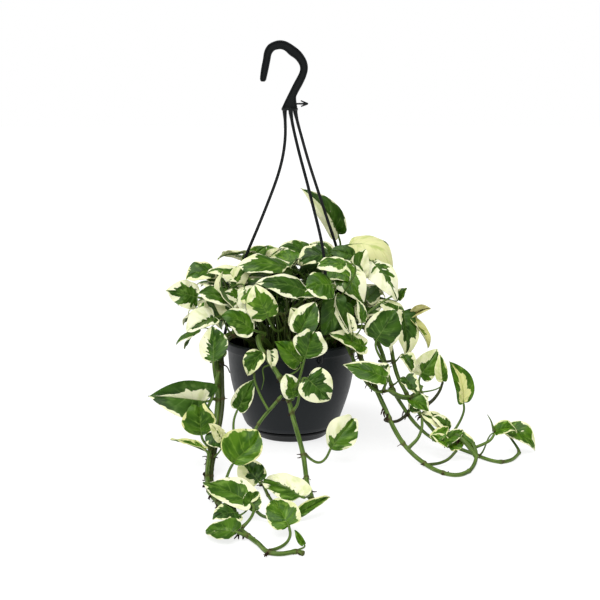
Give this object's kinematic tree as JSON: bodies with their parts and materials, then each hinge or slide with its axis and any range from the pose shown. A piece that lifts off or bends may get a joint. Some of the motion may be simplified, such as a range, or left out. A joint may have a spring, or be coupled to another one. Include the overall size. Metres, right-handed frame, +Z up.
{
  "type": "potted scindapsus",
  "caption": "Trailing variegated foliage plant in a round hanging pot with drip saucer, three-strand hanger and hook, standing with its vines spilled over the rim.",
  "frame": {"origin": "centre of the drip saucer's underside, on the surface that the pot stands on", "axes": "+Z up along the pot's axis; -Y towards the side that most vines trail down, which is the front; +X to the right seen from the front"},
  "size_m": [0.5103, 0.6241, 0.5445],
  "materials": {
    "pot": "satin moulded plastic, dark slate grey",
    "saucer": "satin moulded plastic, near black",
    "hanger": "satin moulded plastic, near black",
    "soil": "crumbly moist peat and bark",
    "stem": "smooth green herbaceous stem",
    "leaf": "semi-gloss green leaf marbled with cream"
  },
  "bodies": {
    "root": {"pot": "pot", "drip_saucer": "saucer", "soil": "soil", "hanger_hook": "hanger", "hanger_strand_left": "hanger", "hanger_strand_front": "hanger", "hanger_strand_back": "hanger", "vine_left": "stem", "vine_left_twin": "stem", "vine_front": "stem", "vine_front_branch": "stem", "vine_right_short": "stem", "vine_right_long": "stem", "vine_right_middle": "stem", "vine_right_far": "stem", "crown_stem_left": "stem", "crown_stem_front": "stem", "crown_stem_top": "stem", "crown_stem_right": "stem", "crown_stem_back": "stem", "leaf_left_outer": "leaf", "leaf_left_high": "leaf", "leaf_left_broad": "leaf", "leaf_left_pale": "leaf", "leaf_rim_left": "leaf", "leaf_front_left": "leaf", "leaf_front_bright": "leaf", "leaf_top_long": "leaf", "leaf_top_back": "leaf", "leaf_top_dark": "leaf", "leaf_front_high": "leaf", "leaf_front_round": "leaf", "leaf_front_upright": "leaf", "leaf_front_heart": "leaf", "leaf_front_low": "leaf", "leaf_front_side": "leaf", "leaf_cascade_outer": "leaf", "leaf_cascade_heart": "leaf", "leaf_cascade_narrow": "leaf", "leaf_cascade_large": "leaf", "leaf_cascade_inner": "leaf", "leaf_ground_left": "leaf", "leaf_ground_dark": "leaf", "leaf_ground_tip": "leaf", "leaf_ground_pale": "leaf", "leaf_front_standing": "leaf", "leaf_tallest": "leaf", "leaf_top_yellow": "leaf", "leaf_right_banded": "leaf", "leaf_right_white": "leaf", "leaf_right_low": "leaf", "leaf_right_round": "leaf", "leaf_right_hanging": "leaf", "leaf_far_upright": "leaf", "leaf_far_yellow": "leaf", "leaf_right_pointed": "leaf", "leaf_far_tip": "leaf", "leaf_back_left": "leaf", "leaf_back_middle": "leaf", "leaf_back_right": "leaf"}
  },
  "joints": []
}
